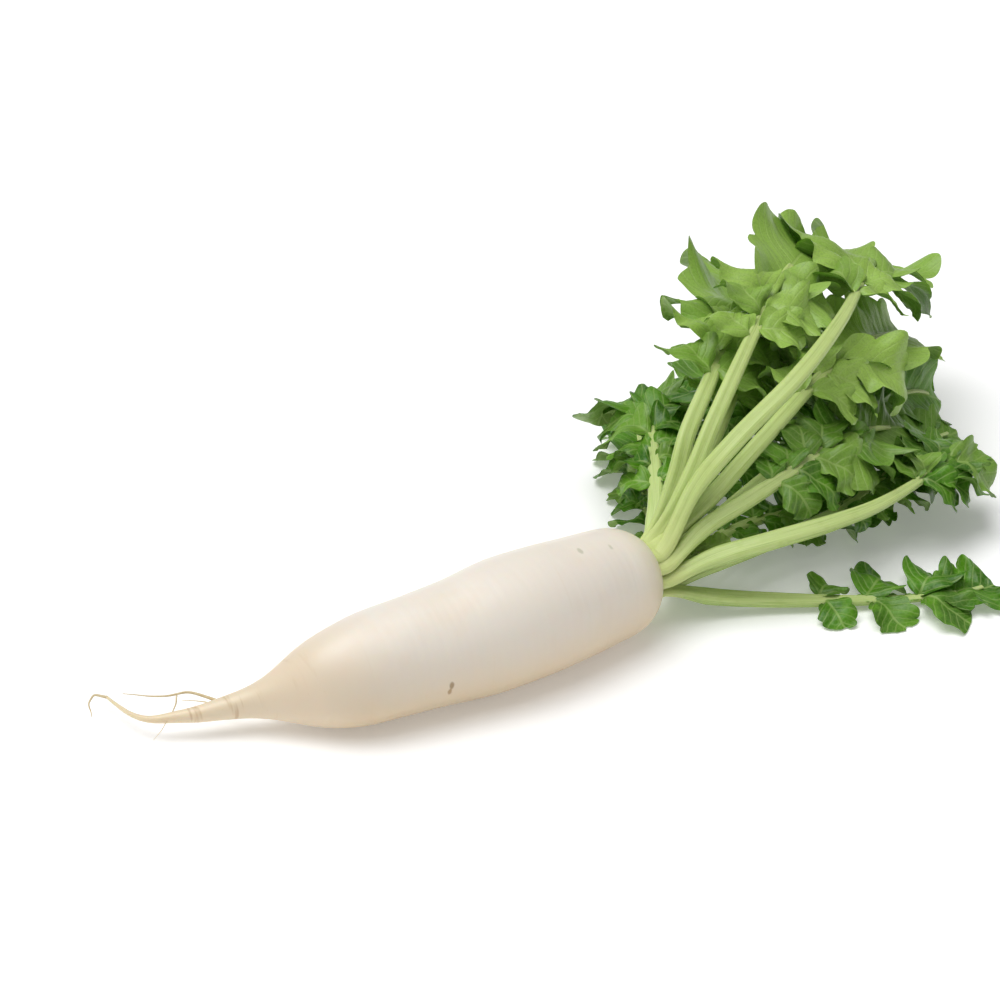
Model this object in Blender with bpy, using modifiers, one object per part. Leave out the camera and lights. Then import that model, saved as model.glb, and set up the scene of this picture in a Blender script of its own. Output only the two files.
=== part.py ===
"""A daikon radish as picked, lying on its side: one long root, its rootlets and its rosette of leaves.

Metres, +Z up. The origin is the middle of the flat patch of skin that the root rests on. +X runs along
the root from its tail to its crown and on into the leaves, which fan out to both sides of +X.
"""
import math

import bmesh
import bpy
import numpy as np

# ---------------------------------------------------------------- driving dimensions
MM = 0.001

# The root from its shoulder to its tail: x, y, height of the underside, radius (mm). The belly is
# half a millimetre low, and the ground plane trims it to the flat patch that the root rests on.
ROOT_STATIONS = (
    (62.0, 7.4, 0.2, 30.2), (51.0, 6.2, 0.0, 31.2), (37.0, 4.2, -0.4, 32.3), (20.0, 2.0, -0.5, 33.2),
    (4.0, 0.5, -0.5, 33.5), (-12.0, -0.6, -0.5, 33.0), (-30.0, 0.0, -0.4, 31.5), (-50.0, 1.2, 0.0, 30.0),
    (-70.0, 2.8, 0.1, 29.0), (-84.0, 4.0, 0.1, 27.8), (-96.0, 7.0, 0.3, 25.4), (-107.0, 11.0, 0.9, 21.8),
    (-118.0, 14.5, 3.9, 16.4), (-128.0, 18.0, 7.1, 11.2), (-138.0, 22.0, 8.5, 7.8), (-150.0, 26.5, 8.5, 5.8),
    (-162.0, 30.5, 8.4, 4.2), (-173.0, 36.0, 8.4, 2.9), (-183.0, 41.0, 8.4, 1.8), (-189.0, 50.0, 8.5, 1.3),
    (-191.5, 62.0, 8.0, 1.0), (-193.0, 74.0, 7.3, 0.7),
)
ROOT_SIDES = 20
ROOT_RINGS = 38
CROWN_LENGTH = 29.0       # mm from the shoulder to the apex of the crown's dome
CROWN_CUT = 1.06          # radians of the dome's quarter turn that are left below the leaf bases
CROWN_DRIFT = 0.8         # mm that the dome leans to the far side and up
CROWN_RINGS = 7

# Rootlets: the points (mm) that each thread runs through, and its radius at the thick end.
ROOTLETS = {
    "side_root_1": (0.8, ((-193.4, 75.6, 8.0), (-198.0, 77.5, 8.4),
                          (-202.0, 75.0, 6.0), (-203.5, 68.0, 3.0))),
    "side_root_2": (0.9, ((-150.6, 33.6, 15.4), (-160.0, 44.0, 17.0),
                          (-172.0, 52.0, 14.0), (-187.0, 66.0, 12.5))),
    "side_root_3": (0.7, ((-139.0, 30.0, 11.0), (-146.0, 40.0, 6.6),
                          (-150.0, 52.0, 3.4), (-158.0, 60.0, 2.2))),
}
ROOTLET_SIDES = 6
ROOTLET_RINGS = 8

# The crown plate, where the leaves join the root.
CROWN_FACE_X = 62.0 + CROWN_LENGTH * math.sin(CROWN_CUT)
CROWN_CENTRE = (8.1, 31.3)   # y and height of the plate's middle (mm)
OUTER_RING = 12.6            # radius of the ring that the old leaves' stalks stand on (mm)
INNER_RING = 5.0
SEAT_GAP = 0.6               # clearance between a stalk and the crown plate (mm)
STALK_START = 3.0            # how far a stalk runs straight out of the crown (mm)
STALK_LEAD = 26.0            # how strongly it keeps that direction as it bends away (mm)
STALK_SIDES = 8
STALK_RINGS = 11
STALK_END = 0.93             # share of the leaf's length that the stalk and midrib reach
BLADE_THICKNESS = 0.9        # mm
BLADE_ROW_LENGTH = 11.0      # mm of midrib to one row of the blade
BLADE_COLUMNS = 4
BLADE_CLEARANCE = 0.7        # mm between a blade and the midrib under it
BLADE_CURL = 0.16            # how far a blade's edge rises, as a share of its half width
NOTCH_DEPTH = 0.34           # depth of the notches between lobes, as a share of the half width

# Leaves: ring radius, angle round the crown (0 up, 90 the far side), the points (mm) that the midrib
# runs through, the share of its length that is bare stalk, the blade's half width (mm), its lobes on
# each side, the stalk's radius (mm), and the way that the blade faces.
LEAVES = {
    "leaf_01": (OUTER_RING, -128,
        ((120, -6, 13), (150, -17, 7.5), (190, -37, 5.2), (225, -52, 4.0),
         (252, -58, 3.2), (270, -59, 3.0)),
        0.4, 18, 4, 5.2, (0.0, -0.2, 1.0)),
    "leaf_02": (OUTER_RING, -90,
        ((120, -5, 36), (150, -15, 43), (185, -20, 46), (220, -16, 45),
         (262, -1, 42), (294, 16, 38), (314, 30, 30)),
        0.7, 22, 4, 5.6, (0.1, -0.5, 1.0)),
    "leaf_03": (OUTER_RING, -58,
        ((121, 6, 48), (148, 6, 57), (178, 9, 64), (211, 18, 67),
         (250, 32, 61), (284, 42, 48)),
        0.36, 24, 4, 4.8, (0.1, -0.6, 1.0)),
    "leaf_04": (OUTER_RING, -26,
        ((119, 12, 70), (144, 11, 94), (191, 23, 114), (243, 57, 119),
         (300, 112, 108), (342, 160, 88), (362, 192, 70)),
        0.6, 34, 3, 5.2, (0.0, -0.4, 1.0)),
    "leaf_05": (OUTER_RING, 56,
        ((116, 29, 62), (134, 42, 86), (164, 66, 100), (204, 108, 104),
         (242, 156, 96), (272, 194, 82)),
        0.36, 32, 3, 5.0, (0.2, -0.5, 1.0)),
    "leaf_06": (OUTER_RING, 84,
        ((112, 38, 44), (132, 70, 54), (151, 104, 56), (168, 136, 48),
         (184, 166, 36)),
        0.24, 26, 4, 4.6, (0.0, 0.2, 1.0)),
    "leaf_07": (OUTER_RING, 112,
        ((122, 46, 24), (160, 92, 21), (202, 142, 21), (250, 190, 20),
         (288, 226, 16)),
        0.24, 26, 4, 4.8, (0.0, -0.2, 1.0)),
    "leaf_08": (OUTER_RING, 140,
        ((116, 34, 11), (136, 74, 6), (158, 118, 4.8), (184, 162, 3.6),
         (206, 202, 3)),
        0.28, 22, 4, 4.6, (0.0, 0.0, 1.0)),
    "leaf_09": (OUTER_RING, 170,
        ((122, 18, 20), (152, 32, 21), (190, 40, 18), (230, 38, 14),
         (268, 28, 9)),
        0.34, 19, 4, 4.2, (0.0, -0.3, 1.0)),
    "leaf_10": (INNER_RING, 35,
        ((112, 12, 39), (134, 19, 40), (180, 34, 48), (232, 56, 50),
         (284, 78, 46), (330, 94, 36), (356, 102, 22)),
        0.34, 26, 4, 4.4, (0.0, -0.5, 1.0)),
    "leaf_11": (INNER_RING, 110,
        ((108, 21, 37), (126, 31, 50), (160, 54, 70), (204, 92, 80),
         (254, 136, 69), (304, 182, 50), (340, 212, 32)),
        0.32, 30, 4, 4.4, (0.1, -0.5, 1.0)),
    "leaf_12": (INNER_RING, 178,
        ((126, 34, 32), (166, 66, 40), (214, 100, 44), (268, 134, 38),
         (318, 162, 24)),
        0.26, 26, 5, 4.2, (0.0, -0.3, 1.0)),
    "leaf_13": (OUTER_RING, 1,
        ((128, 16, 56), (170, 24, 80), (220, 46, 92), (275, 80, 86),
         (322, 108, 70), (350, 124, 54)),
        0.4, 28, 3, 4.8, (0.0, -0.5, 1.0)),
    "leaf_14": (OUTER_RING, 28,
        ((118, 19, 68), (146, 34, 96), (188, 64, 118), (236, 104, 126),
         (280, 144, 118), (308, 172, 104)),
        0.44, 28, 3, 4.8, (0.0, -0.6, 1.0)),
    "leaf_15": (OUTER_RING, -160,
        ((124, 2, 26), (160, 2, 29), (210, 8, 31), (256, 26, 31),
         (304, 50, 28), (342, 66, 20)),
        0.44, 22, 4, 4.4, (0.0, -0.4, 1.0)),
    "heart_leaf_1": (INNER_RING, -100,
        ((110, 5, 33), (125, 6, 35), (138, 4, 37)),
        0.44, 6, 2, 2.0, (0.0, -0.4, 1.0)),
    "heart_leaf_2": (INNER_RING, 224,
        ((106, 9, 28), (118, 14, 29), (130, 17, 30)),
        0.44, 5, 2, 2.0, (0.0, -0.2, 1.0)),
}

SKIN_COLOUR = (0.86, 0.80, 0.70)
ROOTLET_COLOUR = (0.72, 0.60, 0.40)
STALK_COLOUR = (0.46, 0.58, 0.18)
BLADE_COLOUR = (0.10, 0.28, 0.05)


# ---------------------------------------------------------------- helpers
def clear_scene():
    """Empty the scene and return a collection named for the object."""
    for old in list(bpy.data.objects):
        bpy.data.objects.remove(old, do_unlink=True)
    collection = bpy.data.collections.new("daikon_radish")
    bpy.context.scene.collection.children.link(collection)
    return collection


def material(name, colour, roughness):
    """A plain Principled material in one colour."""
    made = bpy.data.materials.new(name)
    made.use_nodes = True
    shader = made.node_tree.nodes["Principled BSDF"]
    shader.inputs["Base Color"].default_value = (*colour, 1.0)
    shader.inputs["Roughness"].default_value = roughness
    shader.inputs["Metallic"].default_value = 0.0
    return made


def smooth_curve(points, count, lead=None):
    """Count evenly spaced rows on a smooth curve (Catmull-Rom) through the rows of points.

    The curve leaves its first row as if it had come from the row lead.
    """
    rows = np.array(points, dtype=float)
    first = 2 * rows[0] - rows[1] if lead is None else lead
    ends = np.vstack([first, rows, 2 * rows[-1] - rows[-2]])
    samples = []
    for before, start, stop, after in zip(ends, ends[1:], ends[2:], ends[3:]):
        t = np.linspace(0.0, 1.0, 20, endpoint=False)[:, None]
        samples.append(0.5 * (2 * start + (stop - before) * t
                              + (2 * before - 5 * start + 4 * stop - after) * t ** 2
                              + (3 * start - before - 3 * stop + after) * t ** 3))
    fine = np.vstack(samples + [rows[-1:]])
    run = np.concatenate([[0.0], np.cumsum(np.linalg.norm(np.diff(fine[:, :3], axis=0), axis=1))])
    even = np.linspace(0.0, run[-1], count)
    return np.column_stack([np.interp(even, run, column) for column in fine.T])


def add_tube(collection, name, centres, radii, sides, skin):
    """A closed round tube along centres (mm) whose radius (mm) changes from point to point."""
    curve = bpy.data.curves.new(name, "CURVE")
    curve.dimensions = "3D"
    curve.bevel_depth = MM
    curve.bevel_resolution = sides // 2 - 2
    curve.use_fill_caps = True
    curve.render_resolution_u = 0
    spline = curve.splines.new("POLY")
    spline.points.add(len(centres) - 1)
    for point, centre, radius in zip(spline.points, centres, radii):
        point.co = (*(centre * MM), 1.0)
        point.radius = radius
    spline.use_smooth = True
    curve.materials.append(skin)
    tube = bpy.data.objects.new(name, curve)
    collection.objects.link(tube)
    return tube


def curve_to_mesh(collection, tube):
    """Replace a tube by its mesh, with its end caps welded on."""
    bpy.context.view_layer.update()
    evaluated = tube.evaluated_get(bpy.context.evaluated_depsgraph_get())
    mesh = bpy.data.meshes.new_from_object(evaluated)
    solid = bpy.data.objects.new("solid", mesh)
    solid.matrix_world = tube.matrix_world
    collection.objects.link(solid)
    name = tube.name
    bpy.data.objects.remove(tube, do_unlink=True)
    solid.name = name
    return solid


# ---------------------------------------------------------------- the root
def root_profile():
    """Rows of x, y, height and radius (mm): the crown's dome, the body and the tail."""
    shoulder_x, shoulder_y, underside, shoulder = ROOT_STATIONS[0]
    dome = []
    for turn in np.linspace(CROWN_CUT, 0.0, CROWN_RINGS, endpoint=False):
        reach = math.sin(turn)
        dome.append((shoulder_x + CROWN_LENGTH * reach, shoulder_y + CROWN_DRIFT * reach,
                     underside + shoulder + CROWN_DRIFT * reach, shoulder * math.cos(turn) ** 0.85))
    body = smooth_curve([(x, y, low + radius, radius) for x, y, low, radius in ROOT_STATIONS], ROOT_RINGS)
    return np.vstack([dome, body])


def build_root(collection, skin):
    """One swept body, trimmed flat where it rests on the ground."""
    profile = root_profile()
    tube = add_tube(collection, "root", profile[:, :3], profile[:, 3], ROOT_SIDES, skin)
    root = curve_to_mesh(collection, tube)
    edit = bmesh.new()
    edit.from_mesh(root.data)
    bmesh.ops.remove_doubles(edit, verts=edit.verts, dist=0.00001)
    everything = edit.verts[:] + edit.edges[:] + edit.faces[:]
    cut = bmesh.ops.bisect_plane(edit, geom=everything, plane_co=(0, 0, 0), plane_no=(0, 0, -1),
                                 clear_outer=True)
    rim = [item for item in cut["geom_cut"] if isinstance(item, bmesh.types.BMEdge)]
    bmesh.ops.contextual_create(edit, geom=rim)
    bmesh.ops.recalc_face_normals(edit, faces=edit.faces)
    edit.to_mesh(root.data)
    edit.free()
    root.data.shade_smooth()
    root.data.set_sharp_from_angle(angle=math.radians(40))


def build_rootlets(collection, skin):
    """Thin threads by the tail, each a touch clear of the skin it grew from."""
    for name, (radius, points) in ROOTLETS.items():
        centres = smooth_curve(points, ROOTLET_RINGS)
        radii = np.linspace(radius, 0.35 * radius, len(centres))
        add_tube(collection, name, centres, radii, ROOTLET_SIDES, skin)


# ---------------------------------------------------------------- the leaves
def midrib(ring, angle, points):
    """The smooth middle line of a leaf (mm), from the end of its straight start to its tip."""
    turn = math.radians(angle)
    start = np.array([CROWN_FACE_X + SEAT_GAP + STALK_START,
                      CROWN_CENTRE[0] + ring * math.sin(turn), CROWN_CENTRE[1] + ring * math.cos(turn)])
    return smooth_curve([start, *points], 121, lead=start - (STALK_LEAD, 0.0, 0.0))


def stalk_radius(share, thick):
    """The stalk's radius (mm): narrow at its seat, thickest soon after, then thinning to the tip."""
    return thick * np.interp(share, (0.0, 0.05, 0.14, 0.35, 0.75, 1.0), (0.52, 0.62, 0.90, 0.80, 0.40, 0.20))


def blade_half_width(share, wide, lobes):
    """The lobed outline (mm): small lobes near the stalk, the widest about two thirds along."""
    swell = np.interp(share, (0.0, 0.25, 0.68, 0.9, 1.0), (0.30, 0.62, 1.0, 0.85, 0.20))
    notch = 1.0 - NOTCH_DEPTH * (0.5 + 0.5 * np.cos(2 * math.pi * lobes * share))
    return wide * swell * notch


def add_blade(collection, name, spine, bare, wide, lobes, thick, facing, green):
    """A lobed sheet with real thickness, carried along the outer part of the midrib, just above it."""
    length = (1 - bare) * np.linalg.norm(np.diff(spine, axis=0), axis=1).sum()
    rows = max(6, round(length / BLADE_ROW_LENGTH))
    bpy.ops.mesh.primitive_grid_add(x_subdivisions=BLADE_COLUMNS, y_subdivisions=rows, size=2)
    blade = bpy.context.object
    blade.name = blade.data.name = name
    for user in list(blade.users_collection):
        user.objects.unlink(blade)
    collection.objects.link(blade)
    grid = np.empty(len(blade.data.vertices) * 3)
    blade.data.vertices.foreach_get("co", grid)
    across, along = grid.reshape(-1, 3).T[:2]
    along = (along + 1) / 2
    share = bare + (1 - bare) * along

    tangents = np.gradient(spine, axis=0)
    tangents /= np.linalg.norm(tangents, axis=1)[:, None]
    sides = np.cross(tangents, facing)
    sides /= np.linalg.norm(sides, axis=1)[:, None]
    uppers = np.cross(sides, tangents)
    steps = np.linspace(0.0, 1.0, len(spine))
    centre, side, upper = (np.column_stack([np.interp(share, steps, column) for column in rows.T])
                           for rows in (spine, sides, uppers))
    half = blade_half_width(along, wide, lobes)
    clear = stalk_radius(share, thick) + BLADE_THICKNESS / 2 + BLADE_CLEARANCE
    lift = clear + BLADE_CURL * half * np.abs(across) ** 1.5
    place = centre + side * (across * half)[:, None] + upper * lift[:, None]
    blade.data.vertices.foreach_set("co", (place * MM).ravel())
    blade.data.update()
    blade.data.materials.append(green)
    blade.data.shade_smooth()
    solidify = blade.modifiers.new("thickness", "SOLIDIFY")
    solidify.thickness = BLADE_THICKNESS * MM
    solidify.offset = 0.0


def build_leaf(collection, name, leaf):
    """A leaf's stalk, which runs on as its midrib, and the blade that it carries."""
    ring, angle, points, bare, wide, lobes, thick, facing = leaf
    spine = midrib(ring, angle, points)
    stations = np.linspace(0, round(STALK_END * (len(spine) - 1)), STALK_RINGS).round().astype(int)
    seat = spine[:1] - (STALK_START, 0.0, 0.0)
    centres = np.vstack([seat, spine[stations]])
    share = np.append(0.0, stations / (len(spine) - 1))
    stalk = material(name + "_stalk", STALK_COLOUR, 0.45)
    add_tube(collection, name + "_stalk", centres, stalk_radius(share, thick), STALK_SIDES, stalk)
    green = material(name + "_blade", BLADE_COLOUR, 0.5)
    add_blade(collection, name + "_blade", spine, bare, wide, lobes, thick, facing, green)


def main():
    collection = clear_scene()
    build_root(collection, material("root_skin", SKIN_COLOUR, 0.4))
    build_rootlets(collection, material("rootlet_skin", ROOTLET_COLOUR, 0.6))
    for name, leaf in LEAVES.items():
        build_leaf(collection, name, leaf)


main()
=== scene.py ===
# %% [markdown]
# # A daikon radish, as picked
# A daikon is one long white root with a rosette of leaves on its crown. The solid model that this lesson
# loads has every piece at its real size: the root, three rootlets, and a stalk and a blade for each leaf.
# Those solids stay as the frame. Here each one gets a finely modelled surface that stands for it, a
# finish of its own, and a studio to be seen in.

# %% Load the solid model
import math

import bmesh
import bpy
import numpy as np
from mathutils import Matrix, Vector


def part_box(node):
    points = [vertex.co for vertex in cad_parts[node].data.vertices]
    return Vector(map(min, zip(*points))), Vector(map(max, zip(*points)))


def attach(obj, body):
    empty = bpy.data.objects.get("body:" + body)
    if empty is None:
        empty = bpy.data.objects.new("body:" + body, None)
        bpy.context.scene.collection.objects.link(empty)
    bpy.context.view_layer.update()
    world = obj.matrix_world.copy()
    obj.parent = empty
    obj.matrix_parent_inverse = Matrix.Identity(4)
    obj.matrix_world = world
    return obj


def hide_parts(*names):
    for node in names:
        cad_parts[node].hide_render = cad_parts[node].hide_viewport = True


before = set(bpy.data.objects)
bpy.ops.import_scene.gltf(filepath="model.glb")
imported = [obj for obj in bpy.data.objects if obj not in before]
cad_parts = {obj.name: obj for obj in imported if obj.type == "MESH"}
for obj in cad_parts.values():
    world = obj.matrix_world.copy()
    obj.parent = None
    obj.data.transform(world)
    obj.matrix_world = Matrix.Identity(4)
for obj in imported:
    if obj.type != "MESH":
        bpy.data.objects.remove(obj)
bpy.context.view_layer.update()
MM = 0.001

# %% [markdown]
# ## Sheets and tubes from arrays
# Two kinds of surface make the whole plant. A tube is an outline carried along a path: at each station of
# the path stand two directions square to it, and every outline point is the path's point plus a share of
# each. A leaf is a closed sheet: one grid of points for the middle of the leaf, moved half a thickness up
# for its upper face and half a thickness down for its underside. The two faces share their edge points, so
# the sheet is a closed body with a thin rim, as a real leaf has. Both are worked out as whole arrays.


# %% Smooth paths
def smooth_curve(points, count, lead=None, measure=3):
    """Count evenly spaced rows on a Catmull-Rom curve through the rows of points.

    On each stretch the row is half of
    2 b + (c - a) t + (2 a - 5 b + 4 c - d) t^2 + (3 b - a - 3 c + d) t^3,
    where b and c are its ends, a and d their outer neighbours, and t runs from 0 to 1. The curve leaves
    its first row as if it had come from the row lead. Even means even in the length of the first few
    columns, as many as measure says.
    """
    rows = np.array(points, dtype=float)
    first = 2 * rows[0] - rows[1] if lead is None else lead
    ends = np.vstack([first, rows, 2 * rows[-1] - rows[-2]])
    t = np.linspace(0.0, 1.0, 20, endpoint=False)[None, :, None]
    a, b, c, d = (ends[i:len(ends) - 3 + i, None] for i in range(4))
    fine = 0.5 * (2 * b + (c - a) * t + (2 * a - 5 * b + 4 * c - d) * t ** 2
                  + (3 * b - a - 3 * c + d) * t ** 3)
    fine = np.vstack([fine.reshape(-1, rows.shape[1]), rows[-1:]])
    steps = np.linalg.norm(np.diff(fine[:, :measure], axis=0), axis=1)
    run = np.concatenate([[0.0], np.cumsum(steps)])
    even = np.linspace(0.0, run[-1], count)
    return np.column_stack([np.interp(even, run, column) for column in fine.T])


def unit(rows):
    """Each vector divided by its own length."""
    return rows / np.linalg.norm(rows, axis=-1, keepdims=True)


def directions(path, facing):
    """Along, side and up at each point of a path: side is along x facing, and up is side x along."""
    along = unit(np.gradient(path, axis=0))
    side = unit(np.cross(along, facing))
    return along, side, np.cross(side, along)


def at_share(rows, share):
    """The rows of an evenly spaced path read at shares of its length, from 0 to 1."""
    steps = np.linspace(0.0, 1.0, len(rows))
    return np.column_stack([np.interp(share, steps, column) for column in rows.T])


# %% Meshes from grids
SHARP_EDGE = math.radians(60)
RIM_THINNING = 6          # power of |t| by which a sheet thins towards its edges


def ring_faces(rings, around):
    """Quads between neighbouring rings of points, each ring closed on itself."""
    ring, place = np.meshgrid(np.arange(rings - 1), np.arange(around), indexing="ij")
    beside = (place + 1) % around
    quads = np.stack([ring * around + place, ring * around + beside,
                      (ring + 1) * around + beside, (ring + 1) * around + place], axis=-1)
    return quads.reshape(-1, 4)


def add_mesh(name, points, faces, flat=None, marks=None):
    """A smooth-shaded object from points and faces, with a UV map and named numbers on its points.

    Every face is turned outward, and edges sharper than SHARP_EDGE, such as a leaf's rim, stay crisp.
    """
    mesh = bpy.data.meshes.new(name)
    mesh.from_pydata(points.tolist(), [], [list(face) for face in faces])
    mesh.validate()
    if flat is not None:
        corners = np.empty(len(mesh.loops), dtype=np.int32)
        mesh.loops.foreach_get("vertex_index", corners)
        layer = mesh.uv_layers.new(name="surface")
        layer.data.foreach_set("uv", flat[corners].astype(np.float32).ravel())
    for label, values in (marks or {}).items():
        mesh.attributes.new(label, "FLOAT", "POINT").data.foreach_set("value", values.astype(np.float32))
    edit = bmesh.new()
    edit.from_mesh(mesh)
    bmesh.ops.recalc_face_normals(edit, faces=edit.faces)
    edit.to_mesh(mesh)
    edit.free()
    mesh.shade_smooth()
    mesh.set_sharp_from_angle(angle=SHARP_EDGE)
    made = bpy.data.objects.new(name, mesh)
    bpy.context.scene.collection.objects.link(made)
    return made


class Skin:
    """Points, faces, UV pairs and point numbers of several closed pieces, gathered into one mesh."""

    def __init__(self):
        self.points, self.faces, self.flat, self.marks, self.count = [], [], [], {}, 0

    def take(self, points, faces, flat, marks):
        """Add one piece; its faces count from its own first point."""
        self.points.append(points)
        self.faces.extend((np.array(face) + self.count).tolist() for face in faces)
        self.flat.append(flat)
        for label, values in marks.items():
            self.marks.setdefault(label, []).append(np.broadcast_to(values, len(points)))
        self.count += len(points)

    def build(self, name):
        """Make the object."""
        marks = {label: np.concatenate(parts) for label, parts in self.marks.items()}
        return add_mesh(name, np.vstack(self.points), self.faces, np.vstack(self.flat), marks)


def tube_grid(path, side, up, outline_side, outline_up):
    """Points path + side * outline_side + up * outline_up: one ring of the outline at each path point."""
    return path[:, None] + side[:, None] * outline_side[..., None] + up[:, None] * outline_up[..., None]


def take_tube(skin, grid, flat, marks):
    """Add a closed tube from its grid of rings; each end is shut by one face."""
    rings, around = grid.shape[:2]
    faces = ring_faces(rings, around).tolist()
    last = (rings - 1) * around
    faces.append(list(range(around))[::-1])
    faces.append(list(range(last, last + around)))
    skin.take(grid.reshape(-1, 3), faces, flat.reshape(-1, 2), marks)


def take_sheet(skin, middle, thickness, flat, marks):
    """Add a closed sheet round a grid of middle points.

    The upper face is middle + normal * thickness / 2 and the underside is middle - normal * thickness / 2;
    the thickness falls to nothing at the two long edges, whose points both faces share.
    """
    rows, columns = middle.shape[:2]
    normal = unit(np.cross(np.gradient(middle, axis=1), np.gradient(middle, axis=0)))
    edge = np.abs(np.linspace(-1.0, 1.0, columns)) ** RIM_THINNING
    half = (0.5 * thickness * (1.0 - edge))[None, :, None]
    upper = middle + normal * half
    under = (middle - normal * half)[:, -2:0:-1]
    grid = np.concatenate([upper, under], axis=1)
    around = grid.shape[1]
    faces = ring_faces(rows, around).tolist()
    above = np.arange(columns - 1)
    beneath = (around - above) % around
    caps = np.stack([above, beneath, (beneath - 1) % around, above + 1], axis=-1)
    last = (rows - 1) * around
    for cap in caps.tolist():      # a cap's corners on the rim coincide, which leaves it a triangle
        corners = list(dict.fromkeys(cap))
        faces.append(corners[::-1])
        faces.append([last + corner for corner in corners])
    both = np.concatenate([flat, flat[:, -2:0:-1]], axis=1)
    below = np.zeros((rows, around))
    below[:, columns:] = 1.0
    skin.take(grid.reshape(-1, 3), faces, both.reshape(-1, 2), {**marks, "underside": below.ravel()})


# %% [markdown]
# ## Where things stand
# The plant is set out from a few numbers that it shares with the solids: the root's stations, the plate on
# the crown that the leaves stand on, and the points that each leaf's midrib runs through. Lengths in these
# tables are millimetres, because a maker of small things thinks in them.

# %% The root's stations
# x, y, height of the underside, radius, from the shoulder to the tip of the tail
ROOT_STATIONS = (
    (62.0, 7.4, 0.2, 30.2), (51.0, 6.2, 0.0, 31.2), (37.0, 4.2, -0.4, 32.3), (20.0, 2.0, -0.5, 33.2),
    (4.0, 0.5, -0.5, 33.5), (-12.0, -0.6, -0.5, 33.0), (-30.0, 0.0, -0.4, 31.5), (-50.0, 1.2, 0.0, 30.0),
    (-70.0, 2.8, 0.1, 29.0), (-84.0, 4.0, 0.1, 27.8), (-96.0, 7.0, 0.3, 25.4), (-107.0, 11.0, 0.9, 21.8),
    (-118.0, 14.5, 3.9, 16.4), (-128.0, 18.0, 7.1, 11.2), (-138.0, 22.0, 8.5, 7.8), (-150.0, 26.5, 8.5, 5.8),
    (-162.0, 30.5, 8.4, 4.2), (-173.0, 36.0, 8.4, 2.9), (-183.0, 41.0, 8.4, 1.8), (-189.0, 50.0, 8.5, 1.3),
    (-191.5, 62.0, 8.0, 1.0), (-193.0, 74.0, 7.3, 0.7),
)
CROWN_LENGTH = 29.0                    # mm from the shoulder to the crown's apex
CROWN_DRIFT = 0.8                      # mm that the apex leans to the far side and up
CROWN_CENTRE = (8.1, 31.3)             # y and height of the plate that the leaves stand on
crown_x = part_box("root")[1][0] / MM
print("crown plate at x =", round(crown_x, 1), "mm")

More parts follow.
